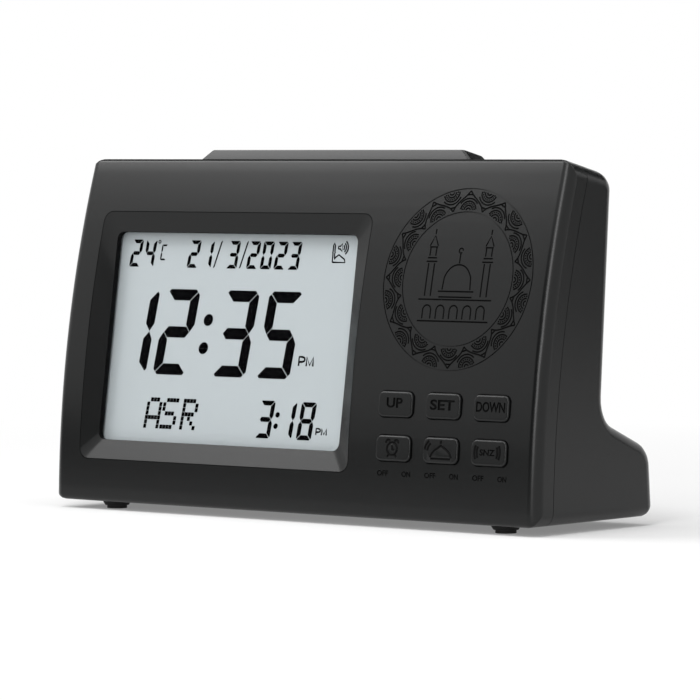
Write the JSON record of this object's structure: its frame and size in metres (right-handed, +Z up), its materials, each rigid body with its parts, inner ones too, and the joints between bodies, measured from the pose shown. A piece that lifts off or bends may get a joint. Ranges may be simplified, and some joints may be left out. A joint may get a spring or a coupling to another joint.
{
  "type": "azan clock",
  "caption": "Table clock for prayer times: a leaning curved case with a sunk grey display, an engraved round ornament, push keys, a snooze bar, a rear loudspeaker and a sliding battery door.",
  "frame": {"origin": "on the table surface, under the middle of the case's box", "axes": "+X to the clock's right as seen from the front, along its width; +Y to the back; +Z up"},
  "size_m": [0.19, 0.0612, 0.1129],
  "materials": {
    "case": "satin black",
    "keys": "satin black",
    "window": "clear",
    "lcd_glass": "grey liquid crystal glass",
    "light_guide": "clear",
    "white_plastic": "matt",
    "dark_rubber": "matt",
    "board": "solder mask",
    "epoxy": "glossy",
    "steel": "bright",
    "sleeve": "glossy",
    "silicone": "matt",
    "speaker_steel": "zinc plated",
    "magnet": "matt",
    "cone": "matt",
    "cell": "plain sleeve",
    "feet": "matt"
  },
  "bodies": {
    "case": {"front_shell": "case", "rear_shell": "case", "display_bezel": "case", "display_window": "window", "lcd_panel": "lcd_glass", "lcd_backlight": "light_guide", "lcd_frame": "white_plastic", "zebra_strips": "dark_rubber", "main_board": "board", "clock_chip": "epoxy", "quartz_crystal": "steel", "buffer_capacitors": "sleeve", "board_plugs": "white_plastic", "board_screws": "steel", "key_board": "board", "key_board_screws": "steel", "key_mat": "silicone", "dome_up": "silicone", "dome_set": "silicone", "dome_down": "silicone", "dome_alarm": "silicone", "dome_azan": "silicone", "dome_snooze": "silicone", "snooze_springs": "steel", "snooze_board": "board", "snooze_dome": "silicone", "speaker_frame": "speaker_steel", "speaker_magnet": "magnet", "speaker_cone": "cone", "speaker_gasket": "dark_rubber", "speaker_screws": "steel", "battery_cell_front": "cell", "battery_cell_rear": "cell", "battery_springs": "steel", "battery_plates": "steel", "case_screws": "steel", "feet": "feet"},
    "key_up": {"key_up": "keys"},
    "key_set": {"key_set": "keys"},
    "key_down": {"key_down": "keys"},
    "key_alarm": {"key_alarm": "keys"},
    "key_azan": {"key_azan": "keys"},
    "key_snooze": {"key_snooze": "keys"},
    "snooze_bar": {"snooze_bar": "keys"},
    "battery_door": {"battery_door": "case"}
  },
  "joints": [
    {"name": "press_up", "type": "slide", "parent": "case", "child": "key_up", "axis": [0, 0.9958, -0.0919], "range_m": [0, 0.0009], "stiffness_N_per_m": 500, "deforming": ["dome_up"]},
    {"name": "press_set", "type": "slide", "parent": "case", "child": "key_set", "axis": [0, 0.9958, -0.0919], "range_m": [0, 0.0009], "stiffness_N_per_m": 500, "deforming": ["dome_set"]},
    {"name": "press_down", "type": "slide", "parent": "case", "child": "key_down", "axis": [0, 0.9958, -0.0919], "range_m": [0, 0.0009], "stiffness_N_per_m": 500, "deforming": ["dome_down"]},
    {"name": "press_alarm", "type": "slide", "parent": "case", "child": "key_alarm", "axis": [0, 0.9958, -0.0919], "range_m": [0, 0.0009], "stiffness_N_per_m": 500, "deforming": ["dome_alarm"]},
    {"name": "press_azan", "type": "slide", "parent": "case", "child": "key_azan", "axis": [0, 0.9958, -0.0919], "range_m": [0, 0.0009], "stiffness_N_per_m": 500, "deforming": ["dome_azan"]},
    {"name": "press_snooze", "type": "slide", "parent": "case", "child": "key_snooze", "axis": [0, 0.9958, -0.0919], "range_m": [0, 0.0009], "stiffness_N_per_m": 500, "deforming": ["dome_snooze"]},
    {"name": "press_snooze_bar", "type": "slide", "parent": "case", "child": "snooze_bar", "axis": [0, -0.2079, -0.9781], "range_m": [0, 0.001], "stiffness_N_per_m": 900, "deforming": ["snooze_springs", "snooze_dome"]},
    {"name": "slide_battery_door", "type": "slide", "parent": "case", "child": "battery_door", "axis": [0, 1, 0], "range_m": [0, 0.042]}
  ]
}
